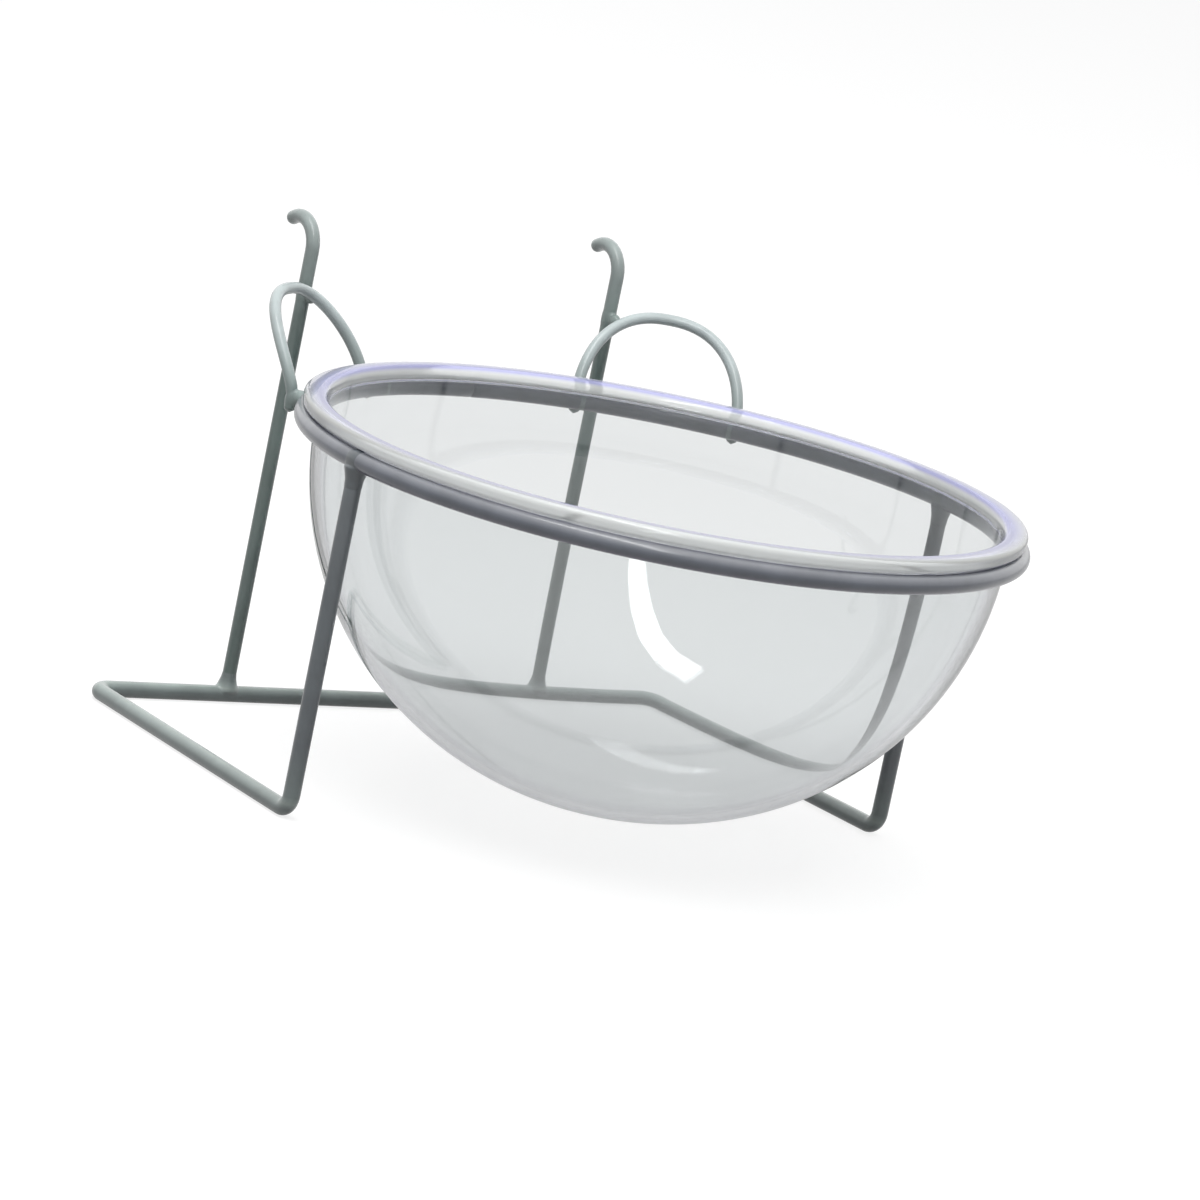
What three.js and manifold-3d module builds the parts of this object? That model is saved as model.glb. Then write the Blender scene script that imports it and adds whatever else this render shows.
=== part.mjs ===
// A clear round feeding bowl that hangs in a stand of bent, welded and coated steel wire.
// Millimetres, +Z up. The hooks point to +Y, where the cage is, and the bowl stands out to -Y.
import * as THREE from "three";
import { mergeVertices } from "three/addons/utils/BufferGeometryUtils.js";
import Module from "manifold-3d";

const wasm = await Module();
wasm.setup();

// Wire thicknesses.
const RING_WIRE = 4;
const BASE_WIRE = 3.5;
const UPRIGHT_WIRE = 3;
const EAR_WIRE = 2.5;
const WIRE_SIDES = 12;
const TIP_ROUNDING = 0.5; // height of a wire's rounded end, as a share of its half thickness

// Ring that carries the bowl. Its two wire ends meet at the rear in a butt seam.
const RING_RADIUS = 75; // to the middle of the wire
const RING_STANDOFF = 9.5; // ring's rear point in front of the rear rail
const SEAM_WIDTH = 0.5;
const SEAM_DEPTH = 0.35;

// Floor frame: one wire that forms both legs, both side rails and the rear rail.
const REAR_HALF_WIDTH = 72.4;
const FLOOR_BEND = 3.5;

// Uprights with the hooks that go over a cage wire.
const UPRIGHT_SIDE = 39.7;
const HOOK_RISE = 24.8; // hook's first bend above the ring
const HOOK_BEND = 6;
const HOOK_TURN = THREE.MathUtils.degToRad(125);
const HOOK_TAIL = 1.5;

// Ears: two arches on the rear half of the ring that lean back to the uprights.
const EAR_INNER_FOOT = THREE.MathUtils.degToRad(20.5); // from the ring's rear point
const EAR_OUTER_FOOT = THREE.MathUtils.degToRad(46.2);
const EAR_HEIGHT = 18.15;
const EAR_FOOT_DROP = 3.4; // below the middle of the ring's wire
const EAR_SQUARENESS = 2.34; // 2 gives an ellipse, more gives squarer shoulders
const EAR_LEAN_CURVE = 1.35; // 1 gives a straight lean, more starts it later

// Bowl.
const BOWL_DEPTH = 70; // below the middle of the ring's wire
const BOWL_WALL = 2;
const BOWL_FULLNESS = 2.05; // 2 gives half an ellipse
const FLANGE_OVERHANG = 0.8; // past the middle of the ring's wire
const FLANGE_THICKNESS = 2.8;
const FLANGE_EDGE = 1.2;
const MOUTH_ROUNDING = 2;
const NECK_FILLET = 0.8; // between the wall and the flange's underside

// Clearances.
const GAP = 0.3; // between solids that touch on the real object
const BOWL_PLAY = 0.5; // around the bowl inside the ring
const BOWL_ABOVE_FLOOR = 3.2; // bowl's lowest point above the middle of the floor wire
const WELD_WEB = 0.4; // thinnest weld metal between the ring and an ear's foot
const EAR_WELD_WEB = 0.78; // thinnest weld metal between an ear and its upright
const LEG_WELD = 1.2; // weld between a leg's end and the ring
const UPRIGHT_WELD = 1.2; // weld between an upright's end and the rear rail

// Welds.
const FILLET_SPREAD = 1.6; // a butt fillet's widest radius, as a multiple of its wire's
const FILLET_WRAP = 0.9; // height to which a butt fillet climbs round the wire it stands on
const FILLET_LIP = 0.25; // how much narrower it gets on the way
const FILLET_CURVE = 1.6;
const NUGGET_GRIP = 1.2; // how far a lap weld reaches past each wire's surface
const RING_NUGGET = { along: 2.6, upward: 2 };
const RING_NUGGET_DROP = 0.5;
const EAR_NUGGET = { along: 2.2, upward: 2.6 };

// Fineness of the curved faces.
const ROUND_STEPS = 64;
const BOWL_STEPS = 12;
const EDGE_STEPS = 4;
const BEND_STEP = Math.PI / 12;
const ARCH_STEPS = 28;
const BLOB_STEPS = 16;
const LEAN_HALVINGS = 40; // tries that narrow down how far an ear leans
const MERGE_WITHIN = 1e-4;

// The stand is as high as the bowl is deep, and as far out as the ring is wide.
const ringHeight = BOWL_DEPTH + BOWL_ABOVE_FLOOR;
const ringReach = RING_RADIUS + RING_STANDOFF;
const hookStart = ringHeight + HOOK_RISE;

const UP = new THREE.Vector3(0, 0, 1);
const ringCentre = new THREE.Vector3(0, -ringReach, ringHeight);

const coatedWire = { roughness: 0.42, metalness: 0.25 };
const finishes = {
  ring: { color: 0x5c6368, ...coatedWire },
  floor: { color: 0x626d6c, ...coatedWire },
  upright: { color: 0x6b7a78, ...coatedWire },
  ear: { color: 0xb3bcbc, ...coatedWire },
  weld: { color: 0x56605f, ...coatedWire, roughness: 0.5 },
  bowl: { color: 0xdde0df, roughness: 0.06, metalness: 0, transparent: true, opacity: 0.35 },
};

// Solids. Every solid is made by three.js and only joined or cut afterwards.

function solidFrom(geometry) {
  const bare = geometry.clone();
  bare.deleteAttribute("normal");
  bare.deleteAttribute("uv");
  const merged = mergeVertices(bare, MERGE_WITHIN);
  return new wasm.Manifold(new wasm.Mesh({
    numProp: 3,
    vertProperties: merged.attributes.position.array,
    triVerts: new Uint32Array(merged.index.array),
  }));
}

function geometryFrom(solid) {
  const mesh = solid.getMesh();
  const geometry = new THREE.BufferGeometry();
  geometry.setAttribute("position", new THREE.BufferAttribute(mesh.vertProperties, 3));
  geometry.setIndex(new THREE.BufferAttribute(mesh.triVerts, 1));
  const faceted = geometry.toNonIndexed();
  faceted.computeVertexNormals();
  return faceted;
}

// A solid of revolution about +Z. The profile holds [radius, height] pairs, upwards on its outside.
function turned(profile, steps, firstAngle = 0) {
  const points = profile.map(([radius, height]) => new THREE.Vector2(radius, height));
  return new THREE.LatheGeometry(points, steps, firstAngle).rotateX(Math.PI / 2);
}

// A quarter round of the profile about a centre, from one angle to another.
function rounding(centreRadius, centreHeight, size, fromAngle, toAngle) {
  return Array.from({ length: EDGE_STEPS + 1 }, (_, i) => {
    const angle = fromAngle + ((toAngle - fromAngle) * i) / EDGE_STEPS;
    return [centreRadius + size * Math.cos(angle), centreHeight + size * Math.sin(angle)];
  });
}

// Wires. A centre line is a list of stations: a point, the direction of travel, a sideways
// direction that one of the wire's flats faces, so that a rail's underside lies level, and the
// section's size where it isn't full.

class WireLine extends THREE.Curve {
  constructor(stations) {
    super();
    this.stations = stations;
  }
  getPoint(u) {
    return this.stations[Math.round(u * (this.stations.length - 1))].point.clone();
  }
  getPointAt(u) {
    return this.getPoint(u);
  }
  computeFrenetFrames() {
    const across = (s) => new THREE.Vector3().crossVectors(s.along, s.side);
    return {
      tangents: this.stations.map((s) => s.along),
      normals: this.stations.map((s) => s.side.clone().multiplyScalar(s.size ?? 1)),
      binormals: this.stations.map((s) => across(s).multiplyScalar(s.size ?? 1)),
    };
  }
}

// Follows a wire as it is bent: straight ahead, or round an axis by the right-hand rule.
class Bender {
  constructor(point, along, side) {
    this.stations = [{ point, along, side }];
  }
  get last() {
    return this.stations[this.stations.length - 1];
  }
  ahead(distance) {
    const { point, along, side } = this.last;
    this.stations.push({ point: point.clone().addScaledVector(along, distance), along, side });
    return this;
  }
  bend(axis, radius, angle) {
    const { point, along, side } = this.last;
    const inward = new THREE.Vector3().crossVectors(axis, along).multiplyScalar(radius);
    const centre = point.clone().add(inward);
    const steps = Math.ceil(angle / BEND_STEP - 1e-9);
    for (let i = 1; i <= steps; i++) {
      const turn = new THREE.Quaternion().setFromAxisAngle(axis, (angle * i) / steps);
      this.stations.push({
        point: centre.clone().sub(inward.clone().applyQuaternion(turn)),
        along: along.clone().applyQuaternion(turn),
        side: side.clone().applyQuaternion(turn),
      });
    }
    return this;
  }
}

// The wire's section has its flats at the true half thickness.
const cornerRadius = (thickness) => thickness / 2 / Math.cos(Math.PI / WIRE_SIDES);

function wireSection(thickness) {
  return Array.from({ length: WIRE_SIDES }, (_, i) => {
    const angle = ((i + 0.5) * 2 * Math.PI) / WIRE_SIDES;
    return new THREE.Vector2(Math.cos(angle), Math.sin(angle)).multiplyScalar(cornerRadius(thickness));
  });
}

function wire(stations, thickness) {
  return solidFrom(new THREE.ExtrudeGeometry(new THREE.Shape(wireSection(thickness)), {
    steps: stations.length - 1,
    bevelEnabled: false,
    extrudePath: new WireLine(stations),
  }));
}

// The rounded end of a coated wire: further stations whose sections grow ever smaller.
function roundedEnd(station, outward, thickness) {
  const height = (TIP_ROUNDING * thickness) / 2;
  return Array.from({ length: EDGE_STEPS }, (_, i) => {
    const angle = ((Math.PI / 2) * (i + 1)) / (EDGE_STEPS + 0.5);
    const point = station.point.clone().addScaledVector(outward, height * Math.sin(angle));
    return { point, along: station.along, side: station.side, size: Math.cos(angle) };
  });
}

const ringTube = (thickness) => solidFrom(
  turned(
    [...wireSection(thickness), wireSection(thickness)[0]].map(({ x, y }) => [RING_RADIUS + x, y]),
    ROUND_STEPS,
  ).translate(ringCentre.x, ringCentre.y, ringCentre.z),
);

// Support ring, with the shallow groove where its ends are butted together.
function supportRing() {
  const rear = ringCentre.clone().setY(ringCentre.y + RING_RADIUS);
  const disc = (radius, width) => solidFrom(
    new THREE.CylinderGeometry(radius, radius, width, 2 * WIRE_SIDES)
      .rotateZ(Math.PI / 2)
      .translate(rear.x, rear.y, rear.z),
  );
  const washer = disc(RING_WIRE, SEAM_WIDTH).subtract(disc(RING_WIRE / 2 - SEAM_DEPTH, 2 * SEAM_WIDTH));
  return ringTube(RING_WIRE).subtract(washer);
}

// Floor frame, from the top of the left leg round to the top of the right leg.
const legTop = ringHeight - RING_WIRE / 2 - LEG_WELD;
const leftLeg = new THREE.Vector3(-RING_RADIUS, -ringReach, legTop);
const railLine = new THREE.Vector3(RING_RADIUS - REAR_HALF_WIDTH, ringReach, 0);
const railLean = Math.atan2(railLine.x, railLine.y);
const rearTurn = Math.PI / 2 - railLean;
const rearCut = FLOOR_BEND * Math.tan(rearTurn / 2); // corner length that the rear bend takes up

function floorStations() {
  const inward = new THREE.Vector3(Math.cos(railLean), -Math.sin(railLean), 0);
  const outward = inward.clone().setX(-inward.x);
  const down = UP.clone().negate();
  return new Bender(leftLeg, down, inward)
    .ahead(legTop - FLOOR_BEND)
    .bend(inward, FLOOR_BEND, Math.PI / 2)
    .ahead(railLine.length() - FLOOR_BEND - rearCut)
    .bend(down, FLOOR_BEND, rearTurn)
    .ahead(2 * (REAR_HALF_WIDTH - rearCut))
    .bend(down, FLOOR_BEND, rearTurn)
    .ahead(railLine.length() - FLOOR_BEND - rearCut)
    .bend(outward, FLOOR_BEND, Math.PI / 2)
    .ahead(legTop - FLOOR_BEND)
    .stations;
}

// Upright with its hook, for the left (-1) or the right (1).
const uprightFoot = BASE_WIRE / 2 + UPRIGHT_WELD;

function uprightStations(hand) {
  const foot = new THREE.Vector3(hand * UPRIGHT_SIDE, 0, uprightFoot);
  const across = new THREE.Vector3(1, 0, 0);
  return new Bender(foot, UP.clone(), across)
    .ahead(hookStart - uprightFoot)
    .bend(across.clone().negate(), HOOK_BEND, HOOK_TURN)
    .ahead(HOOK_TAIL)
    .stations;
}

// Ear. Its feet stand outside the ring, clear of it by two gaps and the thinnest weld.
const earFootRadius = RING_RADIUS + (RING_WIRE + EAR_WIRE) / 2 + 2 * GAP + WELD_WEB;
const earToUpright = (EAR_WIRE + UPRIGHT_WIRE) / 2 + 2 * GAP + EAR_WELD_WEB;
const earMiddle = (EAR_INNER_FOOT + EAR_OUTER_FOOT) / 2;

const rearward = (hand, angle) => new THREE.Vector3(hand * Math.sin(angle), Math.cos(angle), 0);
const onRing = (hand, angle, radius) => ringCentre.clone().addScaledVector(rearward(hand, angle), radius);

// Centre line of the arch: a superellipse between the feet whose crown leans outwards by reach.
function archPoints(hand, reach) {
  const inner = onRing(hand, EAR_INNER_FOOT, earFootRadius);
  const outer = onRing(hand, EAR_OUTER_FOOT, earFootRadius);
  const middle = inner.clone().lerp(outer, 0.5);
  const half = outer.clone().sub(middle);
  const power = 2 / EAR_SQUARENESS;
  return Array.from({ length: ARCH_STEPS + 1 }, (_, i) => {
    const angle = (Math.PI * i) / ARCH_STEPS;
    const rise = Math.max(Math.sin(angle), 0) ** power;
    const run = -Math.sign(Math.cos(angle)) * Math.abs(Math.cos(angle)) ** power;
    return middle.clone()
      .addScaledVector(half, run)
      .addScaledVector(UP, rise * EAR_HEIGHT)
      .addScaledVector(rearward(hand, earMiddle), reach * rise ** EAR_LEAN_CURVE);
  });
}

// The point of an arch that comes closest to the upright's middle line.
function nearestToUpright(hand, points) {
  const axis = new THREE.Vector3(hand * UPRIGHT_SIDE, 0, 0);
  let best = { distance: Infinity };
  for (let i = 1; i < points.length; i++) {
    const segment = new THREE.Line3(points[i - 1].clone().setZ(0), points[i].clone().setZ(0));
    const share = segment.closestPointToPointParameter(axis, true);
    const point = points[i - 1].clone().lerp(points[i], share);
    const distance = Math.hypot(point.x - axis.x, point.y);
    if (distance < best.distance) best = { distance, point };
  }
  return best;
}

// The lean is worked out so that the ear just reaches its weld on the upright.
function earReach(hand) {
  let low = 0;
  let high = EAR_HEIGHT;
  for (let i = 0; i < LEAN_HALVINGS; i++) {
    const middle = (low + high) / 2;
    const near = nearestToUpright(hand, archPoints(hand, middle));
    if (near.distance > earToUpright) low = middle;
    else high = middle;
  }
  return low;
}

function earStations(hand, reach) {
  const arch = archPoints(hand, reach);
  const drop = new THREE.Vector3(0, 0, -EAR_FOOT_DROP + (TIP_ROUNDING * EAR_WIRE) / 2);
  const points = [arch[0].clone().add(drop), ...arch, arch[ARCH_STEPS].clone().add(drop)];
  const lean = rearward(hand, earMiddle);
  return points.map((point, i) => {
    const before = points[Math.max(i - 1, 0)];
    const after = points[Math.min(i + 1, points.length - 1)];
    const along = after.clone().sub(before).normalize();
    const side = new THREE.Vector3().crossVectors(along, lean).normalize();
    return { point, along, side };
  });
}

// Bowl: a deep round-bottomed wall under a flat flange that rests on the ring.
const outerRadius = RING_RADIUS - RING_WIRE / 2 - BOWL_PLAY;
const innerRadius = outerRadius - BOWL_WALL;

function bowl() {
  const underside = RING_WIRE / 2 + GAP;
  const top = underside + FLANGE_THICKNESS;
  const rim = RING_RADIUS + FLANGE_OVERHANG - FLANGE_EDGE;
  const wall = (radius, depth) => Array.from({ length: BOWL_STEPS + 1 }, (_, i) => {
    const angle = (Math.PI / 2) * (1 - i / BOWL_STEPS);
    const power = 2 / BOWL_FULLNESS;
    const reach = i === 0 ? 0 : Math.cos(angle) ** power;
    return [radius * reach, -depth * Math.max(Math.sin(angle), 0) ** power];
  });
  const profile = [
    ...wall(outerRadius, BOWL_DEPTH),
    ...rounding(outerRadius + NECK_FILLET, underside - NECK_FILLET, NECK_FILLET, Math.PI, Math.PI / 2),
    ...rounding(rim, underside + FLANGE_EDGE, FLANGE_EDGE, -Math.PI / 2, 0),
    ...rounding(rim, top - FLANGE_EDGE, FLANGE_EDGE, 0, Math.PI / 2),
    ...rounding(innerRadius + MOUTH_ROUNDING, top - MOUTH_ROUNDING, MOUTH_ROUNDING, Math.PI / 2, Math.PI),
    ...wall(innerRadius, BOWL_DEPTH - BOWL_WALL).reverse(),
  ];
  return solidFrom(turned(profile, ROUND_STEPS).translate(ringCentre.x, ringCentre.y, ringCentre.z));
}

const cut = (solid, cutters) => cutters.reduce((rest, cutter) => rest.subtract(cutter), solid);

// Butt weld: a collar that flares from a wire's flat end to the surface of the wire that it
// meets, and then climbs round it. It is cut back from that wire and from what needs room.
function buttWeld(foot, upward, thickness, length, cutters) {
  const narrow = cornerRadius(thickness);
  const wide = (FILLET_SPREAD * thickness) / 2;
  const flare = Array.from({ length: EDGE_STEPS + 1 }, (_, i) => {
    const share = i / EDGE_STEPS;
    return [narrow + (wide - narrow) * share ** FILLET_CURVE, length * share];
  });
  const rim = [wide - FILLET_LIP, length + FILLET_WRAP];
  const fillet = turned([[0, 0], ...flare, rim, [0, rim[1]]], 2 * WIRE_SIDES);
  if (!upward) fillet.rotateX(Math.PI);
  return cut(solidFrom(fillet.translate(foot.x, foot.y, foot.z)), cutters);
}

// Lap weld: an oval nugget between two wires that lie side by side, cut by both of them.
function lapWeld(centre, across, halfGap, size, cutters) {
  const blob = new THREE.SphereGeometry(1, BLOB_STEPS, BLOB_STEPS / 2 + 2).rotateX(Math.PI / 2);
  const place = new THREE.Matrix4()
    .makeBasis(across, new THREE.Vector3().crossVectors(UP, across), UP)
    .scale(new THREE.Vector3(halfGap + NUGGET_GRIP, size.along, size.upward))
    .setPosition(centre);
  return cut(solidFrom(blob.applyMatrix4(place)), cutters);
}

const group = new THREE.Group();

function add(name, solid, finish) {
  const mesh = new THREE.Mesh(geometryFrom(solid), new THREE.MeshStandardMaterial(finish));
  mesh.name = name;
  group.add(mesh);
}

const grown = (thickness) => thickness + 2 * GAP;
const floorLine = floorStations();
const ringCutter = ringTube(grown(RING_WIRE));
const railCutter = wire(floorLine, grown(BASE_WIRE));
const bowlRoom = new THREE.CylinderGeometry(outerRadius + GAP, outerRadius + GAP, BOWL_DEPTH, ROUND_STEPS)
  .rotateX(Math.PI / 2)
  .translate(ringCentre.x, ringCentre.y, ringCentre.z);
const legCutters = [ringCutter, solidFrom(bowlRoom)];
const reach = earReach(1);

add("bowl", bowl(), finishes.bowl);
add("support_ring", supportRing(), finishes.ring);
add("base_wire", wire(floorLine, BASE_WIRE), finishes.floor);

for (const [label, hand] of [["left", -1], ["right", 1]]) {
  const uprightLine = uprightStations(hand);
  const hookEnd = uprightLine[uprightLine.length - 1];
  const uprightWire = [...uprightLine, ...roundedEnd(hookEnd, hookEnd.along, UPRIGHT_WIRE)];
  add(`${label}_upright_hook`, wire(uprightWire, UPRIGHT_WIRE), finishes.upright);

  const earLine = earStations(hand, reach);
  const innerEnd = earLine[0];
  const outerEnd = earLine[earLine.length - 1];
  const earWire = [
    ...roundedEnd(innerEnd, innerEnd.along.clone().negate(), EAR_WIRE).reverse(),
    ...earLine,
    ...roundedEnd(outerEnd, outerEnd.along, EAR_WIRE),
  ];
  add(`${label}_ear`, wire(earWire, EAR_WIRE), finishes.ear);

  const legEnd = leftLeg.clone().setX(-hand * leftLeg.x);
  add(`weld_${label}_leg`, buttWeld(legEnd, true, BASE_WIRE, LEG_WELD, legCutters), finishes.weld);
  const foot = uprightLine[0].point;
  const footWeld = buttWeld(foot, false, UPRIGHT_WIRE, UPRIGHT_WELD, [railCutter]);
  add(`weld_${label}_upright`, footWeld, finishes.weld);

  const earCutter = wire(earLine, grown(EAR_WIRE));
  const halfFootGap = GAP + WELD_WEB / 2;
  for (const [place, angle] of [["inner", EAR_INNER_FOOT], ["outer", EAR_OUTER_FOOT]]) {
    const centre = onRing(hand, angle, RING_RADIUS + RING_WIRE / 2 + halfFootGap);
    centre.z -= RING_NUGGET_DROP;
    const nugget = lapWeld(centre, rearward(hand, angle), halfFootGap, RING_NUGGET, [ringCutter, earCutter]);
    add(`weld_${label}_ear_${place}`, nugget, finishes.weld);
  }

  const near = nearestToUpright(hand, archPoints(hand, reach)).point;
  const toUpright = new THREE.Vector3(hand * UPRIGHT_SIDE - near.x, -near.y, 0).normalize();
  const halfTopGap = GAP + EAR_WELD_WEB / 2;
  const crossing = near.clone().addScaledVector(toUpright, EAR_WIRE / 2 + halfTopGap);
  const uprightCutter = wire(uprightLine, grown(UPRIGHT_WIRE));
  const topWeld = lapWeld(crossing, toUpright, halfTopGap, EAR_NUGGET, [uprightCutter, earCutter]);
  add(`weld_${label}_ear_upright`, topWeld, finishes.weld);
}

// The origin is the middle of the underside of the box round everything.
const box = new THREE.Box3().setFromObject(group);
group.position.set(-(box.min.x + box.max.x) / 2, -(box.min.y + box.max.y) / 2, -box.min.z);

export default group;
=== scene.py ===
"""A clear feeding bowl in a hanging stand of bent, welded and coated wire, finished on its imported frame."""

import math

import bpy
from bpy.props import FloatProperty, FloatVectorProperty, PointerProperty
from mathutils import Matrix, Vector


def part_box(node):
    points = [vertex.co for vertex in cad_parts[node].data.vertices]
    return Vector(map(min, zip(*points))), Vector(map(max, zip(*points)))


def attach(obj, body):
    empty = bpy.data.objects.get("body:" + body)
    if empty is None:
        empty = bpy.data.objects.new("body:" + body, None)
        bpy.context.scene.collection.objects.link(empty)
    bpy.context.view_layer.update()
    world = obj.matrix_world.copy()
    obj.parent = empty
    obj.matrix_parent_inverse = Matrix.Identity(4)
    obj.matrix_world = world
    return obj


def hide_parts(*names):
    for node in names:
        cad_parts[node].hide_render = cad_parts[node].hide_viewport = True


bl_info = {
    "name": "Hanging wire-stand bowl",
    "version": (1, 0, 0),
    "blender": (4, 5, 0),
    "location": "View3D > Sidebar > Bowl",
    "description": "Models and finishes a clear bowl in its hanging stand of coated wire",
    "category": "Add Mesh",
}

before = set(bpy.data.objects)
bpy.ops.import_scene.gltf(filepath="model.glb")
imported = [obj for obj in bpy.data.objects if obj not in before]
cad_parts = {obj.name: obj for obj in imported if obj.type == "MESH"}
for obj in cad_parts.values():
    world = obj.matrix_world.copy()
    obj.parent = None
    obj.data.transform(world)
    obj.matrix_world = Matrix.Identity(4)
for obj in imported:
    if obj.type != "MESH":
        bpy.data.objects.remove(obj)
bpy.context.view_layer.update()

MM = 0.001
UP = Vector((0, 0, 1))

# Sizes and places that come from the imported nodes.
ring_low, ring_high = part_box("support_ring")
floor_low, floor_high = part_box("base_wire")
upright_low, upright_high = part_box("right_upright_hook")
bowl_low, bowl_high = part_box("bowl")

RING_CENTRE = (ring_low + ring_high) / 2
RING_WIRE = ring_high.z - ring_low.z
RING_RADIUS = (ring_high.x - ring_low.x - RING_WIRE) / 2
BASE_WIRE = (floor_high.x - RING_RADIUS) * 2
RAIL_Y = floor_high.y - BASE_WIRE / 2
RAIL_Z = BASE_WIRE / 2
UPRIGHT_WIRE = upright_high.x - upright_low.x
UPRIGHT_SIDE = (upright_high.x + upright_low.x) / 2

WIRE_SIDES = 32
BEND_STEPS = 10
RING_STEPS = 192
BOWL_STEPS = 224

# Real sizes of the patterns, from one spot or crest to the next.
CLOUD = 9 * MM
PEEL = 1.1 * MM
SPECK = 0.5 * MM
MOULD_WAVE = 55 * MM


def linear(code):
    """An sRGB hex colour as linear red, green, blue and an alpha of 1."""
    shades = [int(code[i : i + 2], 16) / 255 for i in (1, 3, 5)]
    return [s / 12.92 if s <= 0.04045 else ((s + 0.055) / 1.055) ** 2.4 for s in shades] + [1]


def length(name, description, default):
    return FloatProperty(name=name, description=description, default=default, unit="LENGTH", precision=5)


def colour(name, description, code):
    shade = linear(code)
    return FloatVectorProperty(name=name, description=description, default=shade, size=4, subtype="COLOR")


class StandSizes(bpy.types.PropertyGroup):
    """Sizes of the wires, their bends and their welds."""

    seam_depth: length("Seam depth", "How deep the groove is where the ring's ends are butted", 0.5 * MM)
    seam_width: length("Seam width", "How wide that groove is", 1 * MM)
    rear_half_width: length("Rear half width", "From the middle to a rear corner of the floor", 72.4 * MM)
    floor_bend: length("Floor bend", "Radius of the floor wire's corners", 3.5 * MM)
    hook_bend: length("Hook bend", "Radius of a hook", 6 * MM)
    hook_rise: length("Hook rise", "From the ring up to the start of a hook", 24.74 * MM)
    hook_tail: length("Hook tail", "Straight end of a hook", 2 * MM)
    hook_turn: FloatProperty(
        name="Hook turn", description="Angle that a hook is bent through", default=math.radians(118),
        subtype="ANGLE",
    )
    ear_wire: length("Ear wire", "Thickness of the ears' wire", 2.5 * MM)
    ear_foot_radius: length("Ear foot radius", "From the ring's middle to an ear's foot", 79.25 * MM)
    ear_inner_foot: FloatProperty(
        name="Inner foot", description="Place on the ring of an ear's inner foot", default=math.radians(20.5),
        subtype="ANGLE",
    )
    ear_outer_foot: FloatProperty(
        name="Outer foot", description="Place on the ring of an ear's outer foot", default=math.radians(46.2),
        subtype="ANGLE",
    )
    ear_height: length("Ear height", "From the ring to the top of an ear's middle line", 18.15 * MM)
    ear_drop: length("Ear drop", "How far an ear's feet reach below the ring's middle", 3.4 * MM)
    ear_lean: length("Ear lean", "How far an ear's top leans back", 13.07 * MM)
    weld_run: length("Weld run", "Weld metal along a wire that passes a weld", 9 * MM)
    weld_stub: length("Weld stub", "Weld metal along a leg or an upright that ends at a weld", 7 * MM)
    weld_grain: length("Weld grain", "Fineness of the weld metal's surface", 0.2 * MM)


class BowlSizes(bpy.types.PropertyGroup):
    """Sizes of the moulded bowl."""

    wall: length("Wall", "Thickness of the wall", 2 * MM)
    outer_radius: length("Outer radius", "Outside of the wall at the ring", 72.5 * MM)
    depth: length("Depth", "From the ring's middle to the bowl's lowest point", 70 * MM)
    flange_radius: length("Flange radius", "Outer edge of the flat rim", 75.77 * MM)
    flange_seat: length("Flange seat", "Underside of the rim above the ring's middle", 2.06 * MM)
    flange_edge: length("Flange edge", "Rounding of the rim's outer edge", 1.2 * MM)
    mouth_edge: length("Mouth edge", "Rounding between the rim and the inside", 2 * MM)
    neck_fillet: length("Neck fillet", "Rounding between the wall and the rim's underside", 0.8 * MM)


class FinishColours(bpy.types.PropertyGroup):
    """Colours of the coated wires and of the clear plastic, and the painted light, shade and violet laid on
    them.
    """

    ring: colour("Ring", "Coat of the ring", "#5b606a")
    # Painted light: the ring's top is paler, standing in for light that passes through the clear rim.
    ring_top_painted_light: colour("Ring's top", "Coat of the ring's top, lit through the clear rim", "#7e8085")
    # Painted shade with a purple reflection on the ring's underside.
    ring_under_painted_shade: colour("Ring's underside", "Coat of the ring's underside", "#60576c")
    # Painted highlight along the top of the rails.
    rail_top_painted_highlight: colour("Rails' top", "Coat along the top of the rails", "#929d99")
    floor: colour("Floor wire", "Coat of the rails on the floor", "#6b7574")
    # Painted shade: the legs are the floor wire's own coat, painted darker.
    leg: colour("Legs", "Coat of the two legs", "#555b5f")
    upright: colour("Uprights", "Coat of the uprights", "#64736f")
    # Painted light: the hooks have the uprights' coat, painted paler towards their tops.
    hook: colour("Hooks", "Coat of the hooks where the cage rubs it paler", "#8b9593")
    # Painted light: the ears have the same coat as the other wires, painted paler.
    ear: colour("Ears", "Coat of the ears", "#aab4b4")
    clear: colour("Clear plastic", "Tint of the clear plastic", "#f2f4f3")
    # Painted refraction: the violet at the rim's inner rounding stands in for light refracted through the
    # rim.
    edge: colour("Plastic edge", "Tint of the clear plastic at the rim's inner rounding", "#bcbdf0")
    # Painted violet: the outlines' tint stands in for light passing lengthwise through the wall.
    outline: colour("Plastic outline", "Tint of the clear plastic where it is seen edge on", "#b4b2dc")
    rim: colour("Rim", "Milky tint of the flat rim", "#f8faf7")


# Modelling helpers.


def settings():
    scene = bpy.context.scene
    return scene.stand_sizes, scene.bowl_sizes, scene.finish_colours


def begin(name, add, **given):
    """Adds a primitive with nothing else selected, puts its place into its mesh and opens it for editing."""
    bpy.ops.object.select_all(action="DESELECT")
    add(**given)
    piece = bpy.context.object
    piece.name = piece.data.name = name
    if piece.type == "MESH":
        bpy.ops.object.transform_apply(location=True, rotation=True, scale=True)
        bpy.ops.object.mode_set(mode="EDIT")
        bpy.ops.mesh.select_mode(type="VERT")
        bpy.ops.mesh.select_all(action="SELECT")
    return piece


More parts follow.
